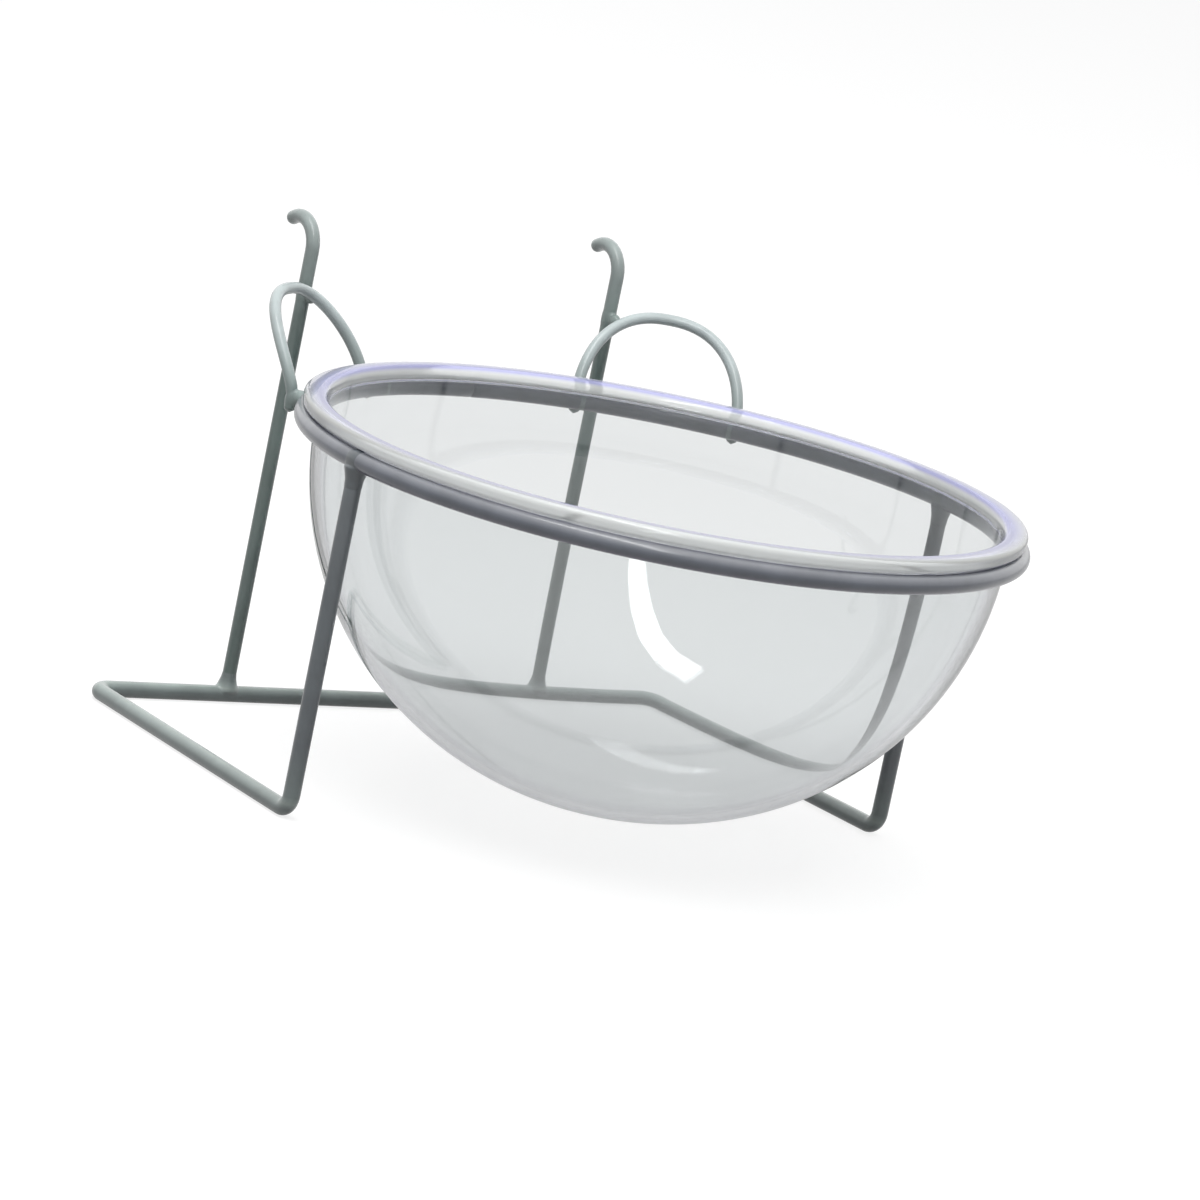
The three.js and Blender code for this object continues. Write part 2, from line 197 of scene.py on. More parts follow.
def open_ends():
    """Selects the edges that have a face on one side only."""
    bpy.ops.mesh.select_mode(type="EDGE")
    bpy.ops.mesh.select_all(action="DESELECT")
    bpy.ops.mesh.select_non_manifold(extend=False, use_wire=True, use_boundary=True, use_multi_face=False,
                                     use_non_contiguous=False, use_verts=False)


def close_ends(rounding, segments=5):
    """Fills the open ends of a wire and rounds their rims."""
    open_ends()
    bpy.ops.mesh.edge_face_add()
    bpy.ops.mesh.bevel(offset=rounding, segments=segments, affect="EDGES")


def end(piece, soft=35):
    """Turns all faces outwards, leaves edit mode and smooths the faces below an angle in degrees."""
    bpy.ops.mesh.select_all(action="SELECT")
    bpy.ops.mesh.remove_doubles(threshold=0.002 * MM)
    bpy.ops.mesh.normals_make_consistent(inside=False)
    bpy.ops.object.mode_set(mode="OBJECT")
    bpy.ops.object.shade_smooth_by_angle(angle=math.radians(soft))
    return piece


def draw_out(way):
    bpy.ops.mesh.extrude_region_move(TRANSFORM_OT_translate={"value": way})


def swing(centre, axis, angle, steps=BEND_STEPS):
    """Spins the selected section round an axis by the right-hand rule, which is Spin's negative angle."""
    bpy.ops.mesh.spin(steps=steps, angle=-angle, center=centre, axis=axis)


def wire_end(name, wire, place, along):
    """The round section from which a wire is drawn out."""
    turn = along.to_track_quat("Z", "Y").to_euler()
    return begin(name, bpy.ops.mesh.primitive_circle_add, vertices=WIRE_SIDES, radius=wire / 2,
                 location=place, rotation=turn)


class Bender:
    """Draws the selected section ahead and bends it, and keeps its place and direction."""

    def __init__(self, place, along):
        self.place, self.along = place.copy(), along.normalized()

    def ahead(self, distance):
        draw_out(self.along * distance)
        self.place += self.along * distance

    def bend(self, axis, radius, angle):
        centre = self.place + axis.cross(self.along) * radius
        swing(centre, axis, angle)
        turn = Matrix.Rotation(angle, 3, axis)
        self.place = centre + turn @ (self.place - centre)
        self.along = turn @ self.along


def other_hand(piece, name):
    """A mirrored copy of a piece with its own mesh."""
    bpy.ops.object.select_all(action="DESELECT")
    piece.select_set(True)
    bpy.context.view_layer.objects.active = piece
    bpy.ops.object.duplicate(linked=False)
    copy = bpy.context.object
    copy.name = copy.data.name = name
    bpy.ops.transform.resize(value=(-1, 1, 1), center_override=(0, 0, 0))
    bpy.ops.object.transform_apply(location=True, rotation=True, scale=True)
    bpy.ops.object.mode_set(mode="EDIT")
    bpy.ops.mesh.select_all(action="SELECT")
    bpy.ops.mesh.normals_make_consistent(inside=False)
    bpy.ops.object.mode_set(mode="OBJECT")
    return copy


def give(piece, body, slot, material, *nodes):
    """Finishes a piece: its material, the body it rides on and the nodes it stands for."""
    piece.data.materials.clear()
    piece.data.materials.append(material)
    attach(piece, body)
    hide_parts(*nodes)


# Materials.


def new_material(name):
    material = bpy.data.materials.new(name)
    material.use_nodes = True
    return material, material.node_tree, material.node_tree.nodes["Principled BSDF"]


def node(tree, kind, links=(), **given):
    """Adds a node with its settings, its input values and the links into its inputs."""
    made = tree.nodes.new(kind)
    for name, value in given.items():
        if hasattr(made, name):
            setattr(made, name, value)
        else:
            made.inputs[name.replace("_", " ")].default_value = value
    for place, source in dict(links).items():
        tree.links.new(source, made.inputs[place])
    return made


def coated_wire(name, *stops):
    """Powder-coated steel wire: satin grey with soft highlights, a faint orange peel and a clouded tint.

    The stops are heights and the tints painted there: the coat's own colour, with painted light and painted
    shade that change with height.
    """
    material, tree, shader = new_material(name)
    place = node(tree, "ShaderNodeTexCoord").outputs["Object"]
    clouds = node(tree, "ShaderNodeTexNoise", {"Vector": place}, Scale=1 / CLOUD, Detail=3, Roughness=0.55)
    peel = node(tree, "ShaderNodeTexNoise", {"Vector": place}, Scale=1 / PEEL, Detail=2, Roughness=0.55)
    specks = node(tree, "ShaderNodeTexNoise", {"Vector": place}, Scale=1 / SPECK, Detail=1, Roughness=0.55)
    height = node(tree, "ShaderNodeSeparateXYZ", {"Vector": place}).outputs["Z"]
    low, high = stops[0][0], stops[-1][0]
    share = node(tree, "ShaderNodeMapRange", {"Value": height}, **{"From Min": low, "From Max": high})
    # The ramp paints light and shade by height: paler where the wire faces up to the light, darker beneath it
    # and down the legs.
    ramp = node(tree, "ShaderNodeValToRGB", {"Fac": share.outputs[0]})
    points = ramp.color_ramp.elements
    while len(points) < len(stops):
        points.new(1)
    for point, (level, tint) in zip(points, stops):
        point.position, point.color = (level - low) / (high - low), tint
    shade = node(tree, "ShaderNodeMapRange", {"Value": clouds.outputs["Fac"]},
                 **{"From Min": 0.35, "From Max": 0.65, "To Min": 0.9, "To Max": 1.12})
    base = node(tree, "ShaderNodeVectorMath", {0: ramp.outputs["Color"], "Scale": shade.outputs[0]},
                operation="SCALE")
    tree.links.new(base.outputs[0], shader.inputs["Base Color"])
    gloss = node(tree, "ShaderNodeMapRange", {"Value": specks.outputs["Fac"]},
                 **{"To Min": 0.26, "To Max": 0.4})
    tree.links.new(gloss.outputs[0], shader.inputs["Roughness"])
    # The orange peel of a sprayed and baked coat breaks up the highlights.
    bump = node(tree, "ShaderNodeBump", {"Height": peel.outputs["Fac"]}, Strength=0.35, Distance=0.05 * MM)
    tree.links.new(bump.outputs[0], shader.inputs["Normal"])
    shader.inputs["IOR"].default_value = 1.5
    shader.inputs["Coat Weight"].default_value = 0.8
    shader.inputs["Coat Roughness"].default_value = 0.15
    return material


def clear_plastic(name, tint, edge, outer, milky, centre, mouth_radius, top):
    """Moulded clear polystyrene: bright and glossy, faintly wavy, greyer where it is seen through lengthwise,
    and painted violet along its outlines.

    The thick flat rim looks milky, and its top and the rounding at the mouth are painted with a violet tint
    that stands in for light refracted through the rim.
    """
    material, tree, shader = new_material(name)
    place = node(tree, "ShaderNodeTexCoord").outputs["Object"]
    shader.inputs["IOR"].default_value = 1.55
    from_axis = node(tree, "ShaderNodeMapping", {"Vector": place}, Location=(-centre.x, -centre.y, 0),
                     Scale=(1, 1, 0))
    distance = node(tree, "ShaderNodeVectorMath", {0: from_axis.outputs[0]}, operation="LENGTH")
    radius = distance.outputs["Value"]
    height = node(tree, "ShaderNodeSeparateXYZ", {"Vector": place}).outputs["Z"]
    # The lip, where a violet refraction is painted: a band of radii from the mouth outwards, near the top
    # only.
    inside = node(tree, "ShaderNodeMapRange", {"Value": radius},
                  **{"From Min": mouth_radius + 0.3 * MM, "From Max": mouth_radius + 0.9 * MM})
    outside = node(tree, "ShaderNodeMapRange", {"Value": radius},
                   **{"From Min": mouth_radius + 4.9 * MM, "From Max": mouth_radius + 2 * MM})
    above = node(tree, "ShaderNodeMapRange", {"Value": height},
                 **{"From Min": top - 2 * MM, "From Max": top - 1.2 * MM})
    band = node(tree, "ShaderNodeMath", {0: inside.outputs[0], 1: outside.outputs[0]}, operation="MULTIPLY")
    painted_violet_lip = node(tree, "ShaderNodeMath", {0: band.outputs[0], 1: above.outputs[0]}, operation="MULTIPLY")
    raised = node(tree, "ShaderNodeMapRange", {"Value": height},
                  **{"From Min": top - 3 * MM, "From Max": top - 2.2 * MM})
    rim = raised.outputs[0]
    base = node(tree, "ShaderNodeMix", {0: rim}, data_type="RGBA")
    base.inputs[6].default_value, base.inputs[7].default_value = tint, milky
    tinted = node(tree, "ShaderNodeMix", {0: painted_violet_lip.outputs[0], 6: base.outputs[2]}, data_type="RGBA")
    tinted.inputs[7].default_value = edge
    # Painted violet along its outlines, where the wall is seen edge on: a tint that stands in for the light's
    # long path through the wall.
    grazing = node(tree, "ShaderNodeLayerWeight", Blend=0.5).outputs["Facing"]
    outline = node(tree, "ShaderNodeMapRange", {"Value": grazing}, clamp=True,
                   **{"From Min": 0.8, "From Max": 0.98, "To Max": 0.36})
    rimmed = node(tree, "ShaderNodeMix", {0: outline.outputs[0], 6: tinted.outputs[2]}, data_type="RGBA")
    rimmed.inputs[7].default_value = outer
    tree.links.new(rimmed.outputs[2], shader.inputs["Base Color"])
    polish = node(tree, "ShaderNodeMapRange", {"Value": rim}, **{"To Min": 0.015, "To Max": 0.05})
    tree.links.new(polish.outputs[0], shader.inputs["Roughness"])
    # Fine wear clouds the wall a little, and the milky rim more.
    clear = node(tree, "ShaderNodeMapRange", {"Value": rim}, **{"To Min": 0.98, "To Max": 0.56})
    tree.links.new(clear.outputs[0], shader.inputs["Transmission Weight"])
    # Slow waves that the mould leaves in the wall, a few centimetres across.
    waves = node(tree, "ShaderNodeTexNoise", {"Vector": place}, Scale=1 / MOULD_WAVE, Detail=0)
    bump = node(tree, "ShaderNodeBump", {"Height": waves.outputs["Fac"]}, Strength=1, Distance=0.5 * MM)
    tree.links.new(bump.outputs[0], shader.inputs["Normal"])
    depth = node(tree, "ShaderNodeVolumeAbsorption", Density=24, Color=(0.5, 0.52, 0.74, 1))
    tree.links.new(depth.outputs[0], tree.nodes["Material Output"].inputs["Volume"])
    return material


# Welds.


def sleeve(place, along, wire, span, swell=0.16 * MM):
    """Metal that swells a wire a little beside a weld and tapers back into it."""
    thick = wire / 2 + swell
    return nugget(place, along.to_track_quat("Z", "Y").to_euler(), (thick, thick, span / 2))


def flare(foot, along, narrow, wide, span):
    """Weld metal that widens from a wire's end to the wire it meets."""
    turn = along.to_track_quat("Z", "Y").to_euler()
    return begin_part(bpy.ops.mesh.primitive_cone_add, vertices=WIRE_SIDES, radius1=narrow, radius2=wide,
                      depth=span, location=foot + along * span / 2, rotation=turn)


def nugget(place, turn, reach):
    """Weld metal of an egg's shape."""
    return begin_part(bpy.ops.mesh.primitive_uv_sphere_add, segments=WIRE_SIDES, ring_count=16, radius=1,
                      location=place, rotation=turn, scale=reach)


def begin_part(add, **given):
    bpy.ops.object.select_all(action="DESELECT")
    add(**given)
    return bpy.context.object


def fuse(name, parts, fineness):
    """Joins the parts of a weld, remeshes them as one skin and lets the metal flow into the corners."""
    bpy.ops.object.select_all(action="DESELECT")
    for part in parts:
        part.select_set(True)
    bpy.context.view_layer.objects.active = parts[0]
    bpy.ops.object.join()
    piece = bpy.context.object
    piece.name = piece.data.name = name
    bpy.ops.object.transform_apply(location=True, rotation=True, scale=True)
    skin = piece.modifiers.new("Skin", "REMESH")
    skin.mode, skin.voxel_size, skin.use_smooth_shade = "VOXEL", fineness, True
    bpy.ops.object.modifier_apply(modifier=skin.name)
    flow = piece.modifiers.new("Flow", "SMOOTH")
    flow.factor, flow.iterations = 0.5, 24
    bpy.ops.object.modifier_apply(modifier=flow.name)
    bpy.ops.object.shade_smooth()
    return piece


# Shapes that several operators share.


def rearward(hand, angle):
    return Vector((hand * math.sin(angle), math.cos(angle), 0))


def ear_line(sizes, hand, steps=48):
    """Middle line of an ear: squarish arch between its feet whose top leans back."""
    inner = RING_CENTRE + rearward(hand, sizes.ear_inner_foot) * sizes.ear_foot_radius
    outer = RING_CENTRE + rearward(hand, sizes.ear_outer_foot) * sizes.ear_foot_radius
    middle, half = (inner + outer) / 2, (outer - inner) / 2
    lean = rearward(hand, (sizes.ear_inner_foot + sizes.ear_outer_foot) / 2)
    # A power of 1 would make it a half ellipse that leans back evenly.
    power, lean_power = 2 / 2.34, 1.35
    line = []
    for i in range(steps + 1):
        angle = math.pi * i / steps
        rise = max(math.sin(angle), 0) ** power
        run = -math.copysign(abs(math.cos(angle)) ** power, math.cos(angle))
        back = lean * sizes.ear_lean * rise**lean_power
        line.append(middle + half * run + UP * rise * sizes.ear_height + back)
    drop = UP * -sizes.ear_drop
    return [line[0] + drop, line[0] + drop / 2] + line + [line[-1] + drop / 2, line[-1] + drop]


def ear_crossing(sizes, hand):
    """The point of an ear's middle line next to its upright, and the ear's direction there."""
    line = ear_line(sizes, hand)
    axis = Vector((hand * UPRIGHT_SIDE, RAIL_Y))
    i = min(range(1, len(line) - 1), key=lambda k: (line[k].xy - axis).length)
    return line[i], (line[i + 1] - line[i - 1]).normalized()


# Operators.


class BOWL_OT_ring(bpy.types.Operator):
    """Bends the support ring from one wire whose ends meet in a butt seam at the rear"""

    bl_idname = "bowl.ring"
    bl_label = "Support ring"

    def execute(self, context):
        sizes, _, colours = settings()
        rear = RING_CENTRE + Vector((0, RING_RADIUS, 0))
        slope = sizes.seam_width / 4 / RING_RADIUS
        narrow = 1 - sizes.seam_depth / (RING_WIRE / 2)
        shoulder = 1 - (1 - narrow) * 0.35
        piece = wire_end("ring_wire", RING_WIRE * narrow, rear, Vector((1, 0, 0)))
        place, size = rear.copy(), narrow
        # Out of the seam's groove, round the ring at full thickness, and into the groove again.
        runs = ((slope, shoulder, 1), (slope, 1, 1), (2 * math.pi - 4 * slope, 1, RING_STEPS),
                (slope, shoulder, 1), (slope, narrow, 1))
        for angle, grown, count in runs:
            swing(RING_CENTRE, UP, angle, count)
            place = RING_CENTRE + Matrix.Rotation(angle, 3, "Z") @ (place - RING_CENTRE)
            bpy.ops.transform.resize(value=(grown / size,) * 3, center_override=place)
            size = grown
        end(piece)
        level = RING_CENTRE.z
        # Painted shade with a purple reflection on the ring's underside, the coat's own colour round its
        # middle, and painted light on its top.
        material = coated_wire("powder_coated_ring_wire", (level - RING_WIRE / 2, colours.ring_under_painted_shade),
                               (level - RING_WIRE * 0.2, colours.ring),
                               (level + RING_WIRE * 0.05, colours.ring),
                               (level + RING_WIRE * 0.45, colours.ring_top_painted_light))
        give(piece, "stand", "coated_wire", material, "support_ring")
        return {"FINISHED"}


class BOWL_OT_floor_wire(bpy.types.Operator):
    """Bends the floor wire: a leg, a side rail, the rear rail, a side rail and a leg"""

    bl_idname = "bowl.floor_wire"
    bl_label = "Floor wire"

    def execute(self, context):
        sizes, _, colours = settings()
        bend = sizes.floor_bend
        top = Vector((-RING_RADIUS, RING_CENTRE.y, RING_CENTRE.z - RING_WIRE * 0.3))
        down = -UP
        rail = Vector((RING_RADIUS - sizes.rear_half_width, RAIL_Y - RING_CENTRE.y, 0))
        lean = math.atan2(rail.x, rail.y)
        rear_turn = math.pi / 2 - lean
        taken = bend * math.tan(rear_turn / 2)
        piece = wire_end("floor_wire", BASE_WIRE, top, down)
        bender = Bender(top, down)
        fall = top.z - RAIL_Z - bend
        bender.ahead(fall)
        bender.bend(Vector((math.cos(lean), -math.sin(lean), 0)), bend, math.pi / 2)
        bender.ahead(rail.length - bend - taken)
        bender.bend(down, bend, rear_turn)
        bender.ahead(2 * (sizes.rear_half_width - taken))
        bender.bend(down, bend, rear_turn)
        bender.ahead(rail.length - bend - taken)
        bender.bend(Vector((-math.cos(lean), -math.sin(lean), 0)), bend, math.pi / 2)
        bender.ahead(fall)
        close_ends(0.3 * MM, 2)
        end(piece)
        # The floor wire's own coat, with a painted highlight along the rails' top and painted shade darkening
        # the legs upwards.
        material = coated_wire("powder_coated_floor_wire", (2 * MM, colours.floor),
                               (3.4 * MM, colours.rail_top_painted_highlight), (5 * MM, colours.floor), (16 * MM, colours.leg))
        give(piece, "stand", "coated_wire", material, "base_wire")
        return {"FINISHED"}


class BOWL_OT_hooks(bpy.types.Operator):
    """Bends one upright with its hook, and copies it to the other side"""

    bl_idname = "bowl.hooks"
    bl_label = "Uprights and hooks"

    def execute(self, context):
        sizes, _, colours = settings()
        foot = Vector((UPRIGHT_SIDE, RAIL_Y, RAIL_Z + BASE_WIRE * 0.3))
        right = wire_end("right_hook_wire", UPRIGHT_WIRE, foot, UP)
        bender = Bender(foot, UP)
        bender.ahead(RING_CENTRE.z + sizes.hook_rise - foot.z)
        bender.bend(Vector((-1, 0, 0)), sizes.hook_bend, sizes.hook_turn)
        bender.ahead(sizes.hook_tail)
        close_ends(1.3 * MM)
        end(right)
        left = other_hand(right, "left_hook_wire")
        start = RING_CENTRE.z + sizes.hook_rise - 14 * MM
        # The uprights' coat, paler towards the hooks' tops with painted light.
        material = coated_wire("powder_coated_hook_wire", (start, colours.upright),
                               (start + 16 * MM, colours.hook))
        give(right, "stand", "coated_wire", material, "right_upright_hook")
        give(left, "stand", "coated_wire", material, "left_upright_hook")
        return {"FINISHED"}


class BOWL_OT_ears(bpy.types.Operator):
    """Bends one ear as a squarish arch that leans back, and copies it to the other side"""

    bl_idname = "bowl.ears"
    bl_label = "Ears"

    def execute(self, context):
        sizes, _, colours = settings()
        right = begin("right_ear_wire", bpy.ops.curve.primitive_nurbs_path_add)
        curve = right.data
        line = ear_line(sizes, 1)
        curve.splines.clear()
        spline = curve.splines.new("POLY")
        spline.points.add(len(line) - 1)
        for point, place in zip(spline.points, line):
            point.co = (*place, 1)
        curve.bevel_depth, curve.bevel_resolution = sizes.ear_wire / 2, 6
        bpy.ops.object.convert(target="MESH")
        bpy.ops.object.mode_set(mode="EDIT")
        bpy.ops.mesh.select_all(action="SELECT")
        bpy.ops.mesh.remove_doubles(threshold=0.002 * MM)
        close_ends(0.8 * MM)
        end(right)
        left = other_hand(right, "left_ear_wire")
        low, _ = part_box("right_ear")
        # The coat, paler towards the ears' tops with painted light.
        material = coated_wire("powder_coated_ear_wire", (low.z, colours.upright),
                               (low.z + 16 * MM, colours.ear))
        # The ears' paleness here is painted light.
        give(right, "stand", "pale_coated_wire", material, "right_ear")
        give(left, "stand", "pale_coated_wire", material, "left_ear")
        return {"FINISHED"}


class BOWL_OT_welds(bpy.types.Operator):
    """Models each kind of weld once on the right and copies it to the left"""

    bl_idname = "bowl.welds"
    bl_label = "Welds"

    def execute(self, context):
        sizes, _, _ = settings()
        fine, run, stub = sizes.weld_grain, sizes.weld_run, sizes.weld_stub
        under = RING_CENTRE.z - RING_WIRE / 2
        leg = Vector((RING_RADIUS, RING_CENTRE.y, under))
        along_ring = Vector((0, 1, 0))
        foot = Vector((UPRIGHT_SIDE, RAIL_Y, RAIL_Z))
        made = {
            "leg": fuse("right_leg_weld", [
                sleeve(leg - UP * 2.5 * MM, UP, BASE_WIRE, stub),
                sleeve(leg + UP * RING_WIRE / 2, along_ring, RING_WIRE, run),
                flare(leg - UP * 3.2 * MM, UP, BASE_WIRE * 0.46, BASE_WIRE * 0.76, 4 * MM),
            ], fine),
            "upright": fuse("right_upright_weld", [
                sleeve(foot + UP * 3.5 * MM, UP, UPRIGHT_WIRE, stub),
                # A little high, so that it stays above the surface that the rail stands on.
                sleeve(foot + UP * 0.3 * MM, Vector((1, 0, 0)), BASE_WIRE, run),
                flare(foot + UP * 4.6 * MM, -UP, UPRIGHT_WIRE * 0.46, UPRIGHT_WIRE * 0.86, 3.8 * MM),
            ], fine),
        }
        line = ear_line(sizes, 1)
        feet = (("inner", sizes.ear_inner_foot, line[0]), ("outer", sizes.ear_outer_foot, line[-1]))
        for place, angle, tip in feet:
            outward = rearward(1, angle)
            on_ring = RING_CENTRE + outward * RING_RADIUS
            middle = RING_CENTRE + outward * (RING_RADIUS + RING_WIRE / 2 + 0.4 * MM) - UP * 0.5 * MM
            turn = outward.to_track_quat("X", "Z").to_euler()
            made["ear_" + place] = fuse(f"right_ear_{place}_weld", [
                sleeve(on_ring, outward.cross(UP), RING_WIRE, run, 0.06 * MM),
                sleeve(tip + UP * 2.6 * MM, UP, sizes.ear_wire, 6 * MM),
                nugget(middle, turn, (1.4 * MM, 2.1 * MM, 1.9 * MM)),
            ], fine)
        near, tangent = ear_crossing(sizes, 1)
        axis = Vector((UPRIGHT_SIDE, RAIL_Y, near.z))
        across = (axis - near).normalized()
        gap = (axis - near).length - (sizes.ear_wire + UPRIGHT_WIRE) / 2
        middle = near + across * (sizes.ear_wire / 2 + gap / 2)
        made["ear_upright"] = fuse("right_ear_upright_weld", [
            sleeve(axis, UP, UPRIGHT_WIRE, run),
            sleeve(near, tangent, sizes.ear_wire, 5 * MM, -0.1 * MM),
            nugget(middle, across.to_track_quat("X", "Z").to_euler(), (1.5 * MM, 1.2 * MM, 1.7 * MM)),
        ], fine)
        # The stand is coated after welding, so each weld wears the coat of the wire it sits on, with that
        # wire's painted light and shade.
        worn = {"leg": "floor", "upright": "floor", "ear_inner": "ear", "ear_outer": "ear",
                "ear_upright": "hook"}
        for kind, right in made.items():
            material = bpy.data.materials[f"powder_coated_{worn[kind]}_wire"]
            left = other_hand(right, right.name.replace("right", "left"))
            bpy.ops.object.shade_smooth()
            give(right, "stand", "coated_wire", material, "weld_right_" + kind)
            give(left, "stand", "coated_wire", material, "weld_left_" + kind)
        return {"FINISHED"}


class BOWL_OT_bowl(bpy.types.Operator):
    """Draws the bowl's profile as one closed line and spins it round the bowl's middle"""

    bl_idname = "bowl.bowl"
    bl_label = "Clear bowl"

    def execute(self, context):
        _, sizes, colours = settings()
        inner = sizes.outer_radius - sizes.wall
        seat, top = sizes.flange_seat, bowl_high.z - RING_CENTRE.z
        rim = sizes.flange_radius - sizes.flange_edge

        def wall(radius, depth, rows=40):
            # A power of 1 would make it a quarter of an ellipse.
            power = 2 / 2.05
            angles = [math.pi / 2 * i / rows for i in range(1, rows + 1)]
            return [(radius * math.sin(a) ** power, -depth * max(math.cos(a), 0) ** power) for a in angles]

        def rounding(radius, height, size, start, stop, steps=8):
            angles = [start + (stop - start) * i / steps for i in range(steps + 1)]
            return [(radius + size * math.cos(a), height + size * math.sin(a)) for a in angles]

        right, over = math.pi / 2, math.pi
        neck, edge, mouth = sizes.neck_fillet, sizes.flange_edge, sizes.mouth_edge
        profile = (
            wall(sizes.outer_radius, sizes.depth)
            + rounding(sizes.outer_radius + neck, seat - neck, neck, over, right)
            + rounding(rim, seat + edge, edge, -right, 0)
            + rounding(rim, top - edge, edge, 0, right)
            + rounding(inner + mouth, top - mouth, mouth, right, over)
            + wall(inner, sizes.depth - sizes.wall)[::-1]
            + [(0, -(sizes.depth - sizes.wall))]
        )
        start = RING_CENTRE - UP * sizes.depth
        piece = begin("clear_bowl", bpy.ops.mesh.primitive_plane_add, size=1 * MM, location=start)
        bpy.ops.mesh.merge(type="CENTER")
        last = (0, -sizes.depth)
        for radius, height in profile:
            if math.dist((radius, height), last) > 0.001 * MM:
                draw_out(Vector((radius - last[0], 0, height - last[1])))
                last = (radius, height)
        bpy.ops.mesh.select_all(action="SELECT")
        swing(RING_CENTRE, UP, 2 * math.pi, BOWL_STEPS)
        end(piece)
        bpy.ops.object.shade_smooth()
        centre = Vector((RING_CENTRE.x, RING_CENTRE.y, 0))
        material = clear_plastic("moulded_clear_polystyrene", colours.clear, colours.edge, colours.outline,
                                 colours.rim, centre, inner, bowl_high.z)
        give(piece, "bowl", "clear_plastic", material, "bowl")
        return {"FINISHED"}


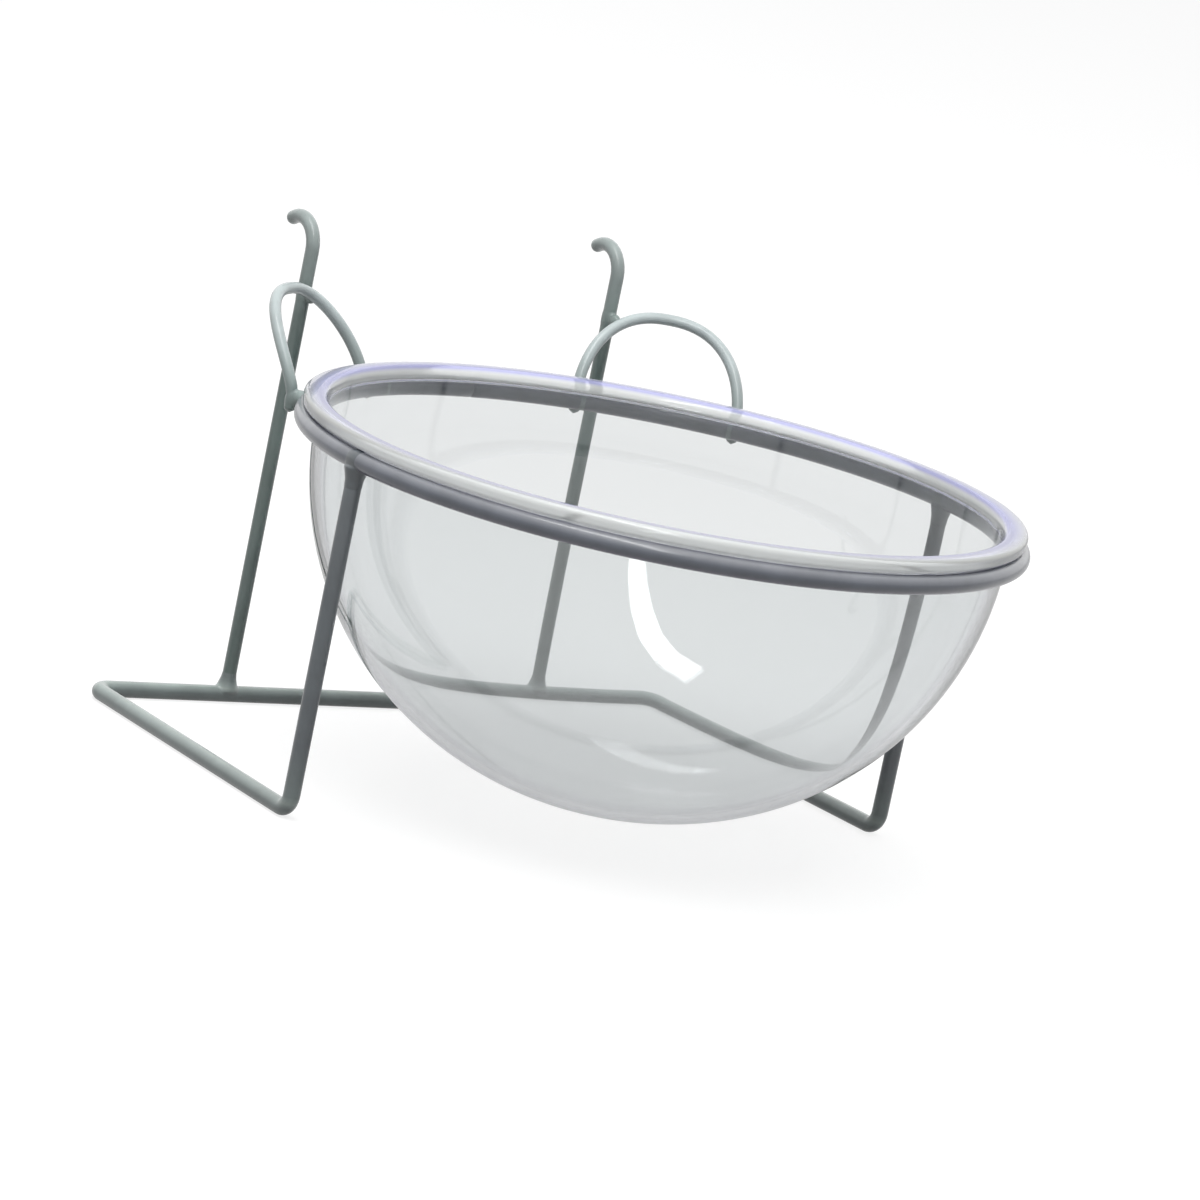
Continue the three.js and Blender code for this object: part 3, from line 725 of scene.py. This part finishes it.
class BOWL_OT_stage(bpy.types.Operator):
    """Sets the pale floor, the soft studio light and the camera"""

    bl_idname = "bowl.stage"
    bl_label = "Floor, light and camera"

    def execute(self, context):
        bpy.ops.object.select_all(action="DESELECT")
        bpy.ops.mesh.primitive_plane_add(size=16, location=(0, 0, -0.05 * MM))
        floor = context.object
        floor.name = "pale_floor"
        floor.data.materials.append(self.floor_material())
        self.lamps()
        self.world(context)
        self.camera(context)
        return {"FINISHED"}

    def floor_material(self):
        """Matt white paper that shows as plain white where no shadow falls on it."""
        material, tree, shader = new_material("matt_white_paper")
        shader.inputs["Base Color"].default_value = linear("#868686")
        shader.inputs["Roughness"].default_value = 0.9
        shader.inputs["Specular IOR Level"].default_value = 0.1
        # Full white for the camera, and less in mirror images and through the clear bowl, whose wall looks
        # light grey.
        seen = node(tree, "ShaderNodeLightPath")
        through = node(tree, "ShaderNodeMath", {0: seen.outputs["Is Transmission Ray"]}, operation="MULTIPLY")
        through.inputs[1].default_value = 0.22
        # A ray that passes through glass counts as a mirrored one too.
        mirrored = node(tree, "ShaderNodeMath", {0: seen.outputs["Is Glossy Ray"], 2: through.outputs[0]},
                        operation="MULTIPLY_ADD")
        mirrored.inputs[1].default_value = 0.43
        lift = node(tree, "ShaderNodeMath", {0: seen.outputs["Is Camera Ray"], 2: mirrored.outputs[0]},
                    operation="MULTIPLY_ADD")
        lift.inputs[1].default_value = 0.81
        glow = node(tree, "ShaderNodeEmission", {"Strength": lift.outputs[0]})
        both = node(tree, "ShaderNodeAddShader", {0: shader.outputs[0], 1: glow.outputs[0]})
        tree.links.new(both.outputs[0], tree.nodes["Material Output"].inputs["Surface"])
        return material

    def lamps(self):
        middle = RING_CENTRE
        side, watts = 1.8, 34
        place = middle + Vector((-0.25, -0.2, 1.5))
        over = begin_lamp("overhead_softbox", place, middle, side, side, watts)
        # It lights the bowl without showing in it as a large pale patch.
        over.visible_glossy = over.visible_transmission = False
        # A bent ceiling strip: its mirror image is the curved streak on the bowl's inside.
        width, watts_per_metre = 0.14, 3.2
        bends = ((-0.63, -1.03), (-0.455, -0.69), (-0.34, -0.42), (-0.272, -0.21), (-0.256, -0.02),
                 (-0.29, 0.18))
        points = [Vector((*bend, 1)) for bend in bends]
        for i, (start, stop) in enumerate(zip(points, points[1:])):
            run = stop - start
            strip = begin_lamp(f"ceiling_strip_{i + 1}", middle + (start + stop) / 2, None, width, run.length,
                               watts_per_metre * run.length)
            strip.rotation_euler = (0, 0, math.atan2(-run.x, run.y))

    def world(self, context):
        """A white backdrop for whatever looks straight at it, and soft grey light on the rest."""
        world = bpy.data.worlds.new("studio_room")
        world.use_nodes = True
        context.scene.world = world
        tree = world.node_tree
        room = tree.nodes["Background"]
        room.inputs["Color"].default_value = linear("#e8eaec")
        room.inputs["Strength"].default_value = 0.34
        backdrop = node(tree, "ShaderNodeBackground", Color=(1, 1, 1, 1), Strength=1)
        seen = node(tree, "ShaderNodeLightPath")
        straight = node(tree, "ShaderNodeMath",
                        {0: seen.outputs["Is Camera Ray"], 1: seen.outputs["Is Glossy Ray"]},
                        operation="MAXIMUM")
        # Through the clear bowl it is a little darker, like the floor.
        white = node(tree, "ShaderNodeMath",
                     {0: seen.outputs["Is Transmission Ray"], 2: straight.outputs[0]},
                     operation="MULTIPLY_ADD")
        white.inputs[1].default_value = -0.3
        mix = node(tree, "ShaderNodeMixShader",
                   {0: white.outputs[0], 1: room.outputs[0], 2: backdrop.outputs[0]})
        tree.links.new(mix.outputs[0], tree.nodes["World Output"].inputs["Surface"])

    def camera(self, context):
        """Stands where the photo was taken: its three directions and its place were fitted to the photo."""
        right = Vector((0.81215202, -0.5485539, 0.19874032))
        up = Vector((-0.04341922, 0.28286269, 0.95817716))
        ahead = Vector((0.58182804, 0.78681466, -0.20590972))
        data = bpy.data.cameras.new("photo_camera")
        data.lens, data.sensor_width, data.sensor_fit = 195, 36, "HORIZONTAL"
        data.clip_start, data.clip_end = 0.05, 100
        camera = bpy.data.objects.new("photo_camera", data)
        place = Vector((-785.80, -1059.40, 323.73)) * MM
        turn = Matrix((right, up, -ahead)).transposed().to_4x4()
        camera.matrix_world = Matrix.Translation(place) @ turn
        context.scene.collection.objects.link(camera)
        context.scene.camera = camera
        context.scene.view_settings.view_transform = "Standard"


def begin_lamp(name, place, target, width, depth, power):
    """Adds a rectangular softbox that faces its target, or straight down without one."""
    bpy.ops.object.select_all(action="DESELECT")
    bpy.ops.object.light_add(type="AREA", location=place)
    lamp = bpy.context.object
    lamp.name = lamp.data.name = name
    lamp.data.shape, lamp.data.size, lamp.data.size_y, lamp.data.energy = "RECTANGLE", width, depth, power
    if target is not None:
        lamp.rotation_euler = (target - place).to_track_quat("-Z", "Y").to_euler()
    return lamp


STEPS = (BOWL_OT_ring, BOWL_OT_floor_wire, BOWL_OT_hooks, BOWL_OT_ears, BOWL_OT_welds, BOWL_OT_bowl,
         BOWL_OT_stage)


class BOWL_PT_panel(bpy.types.Panel):
    """Lists the steps that make the bowl and its stand"""

    bl_idname = "BOWL_PT_panel"
    bl_label = "Bowl and wire stand"
    bl_space_type = "VIEW_3D"
    bl_region_type = "UI"
    bl_category = "Bowl"

    def draw(self, context):
        for step in STEPS:
            self.layout.operator(step.bl_idname)
        for group in settings():
            for name in group.__annotations__:
                self.layout.prop(group, name)


CLASSES = (StandSizes, BowlSizes, FinishColours, *STEPS, BOWL_PT_panel)


def register():
    for kind in CLASSES:
        bpy.utils.register_class(kind)
    bpy.types.Scene.stand_sizes = PointerProperty(type=StandSizes)
    bpy.types.Scene.bowl_sizes = PointerProperty(type=BowlSizes)
    bpy.types.Scene.finish_colours = PointerProperty(type=FinishColours)


def unregister():
    del bpy.types.Scene.finish_colours, bpy.types.Scene.bowl_sizes, bpy.types.Scene.stand_sizes
    for kind in reversed(CLASSES):
        bpy.utils.unregister_class(kind)


def main():
    register()
    for step in ("ring", "floor_wire", "hooks", "ears", "welds", "bowl", "stage"):
        getattr(bpy.ops.bowl, step)()


if __name__ == "__main__":
    main()
